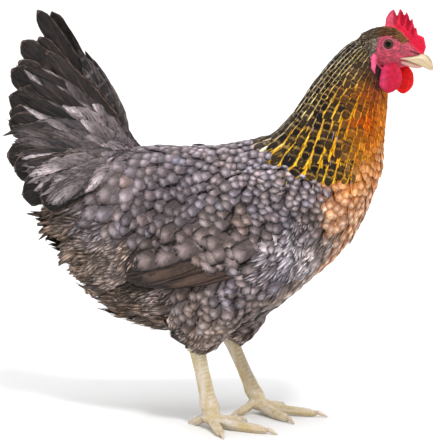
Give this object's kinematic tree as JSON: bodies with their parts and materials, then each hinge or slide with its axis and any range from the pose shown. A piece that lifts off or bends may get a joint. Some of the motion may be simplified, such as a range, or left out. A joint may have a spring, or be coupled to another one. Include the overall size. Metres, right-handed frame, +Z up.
{
  "type": "chicken",
  "caption": "Life-size standing hen as a museum model: red single comb and wattles, gold hackle, grey body, raised fan tail, bare yellow legs.",
  "frame": {"origin": "on the floor, below the middle of the bird's overall length and width", "axes": "+X forward along the bird, +Y to its left, +Z up; the head is turned 14 degrees to its right"},
  "size_m": [0.4217, 0.1717, 0.4141],
  "materials": {
    "feather_grey": "matte",
    "feather_hackle": "matte",
    "feather_tail": "matte",
    "feather_wing": "matte",
    "face_skin": "satin",
    "comb_red": "satin",
    "beak_horn": "satin",
    "claw_horn": "satin",
    "leg_skin": "satin",
    "eye": "gloss"
  },
  "bodies": {
    "root": {"trunk": "feather_grey", "neck": "feather_hackle", "tail": "feather_tail", "head": "face_skin", "comb": "comb_red", "beak_upper": "beak_horn", "beak_lower": "beak_horn", "eye_left": "eye", "earlobe_left": "face_skin", "wattle_left": "comb_red", "wing_left": "feather_wing", "thigh_left": "feather_grey", "shank_left": "leg_skin", "toe_left_back": "leg_skin", "claw_left_back": "claw_horn", "toe_left_inner": "leg_skin", "claw_left_inner": "claw_horn", "toe_left_middle": "leg_skin", "claw_left_middle": "claw_horn", "toe_left_outer": "leg_skin", "claw_left_outer": "claw_horn", "eye_right": "eye", "earlobe_right": "face_skin", "wattle_right": "comb_red", "wing_right": "feather_wing", "thigh_right": "feather_grey", "shank_right": "leg_skin", "toe_right_back": "leg_skin", "claw_right_back": "claw_horn", "toe_right_inner": "leg_skin", "claw_right_inner": "claw_horn", "toe_right_middle": "leg_skin", "claw_right_middle": "claw_horn", "toe_right_outer": "leg_skin", "claw_right_outer": "claw_horn"}
  },
  "joints": []
}
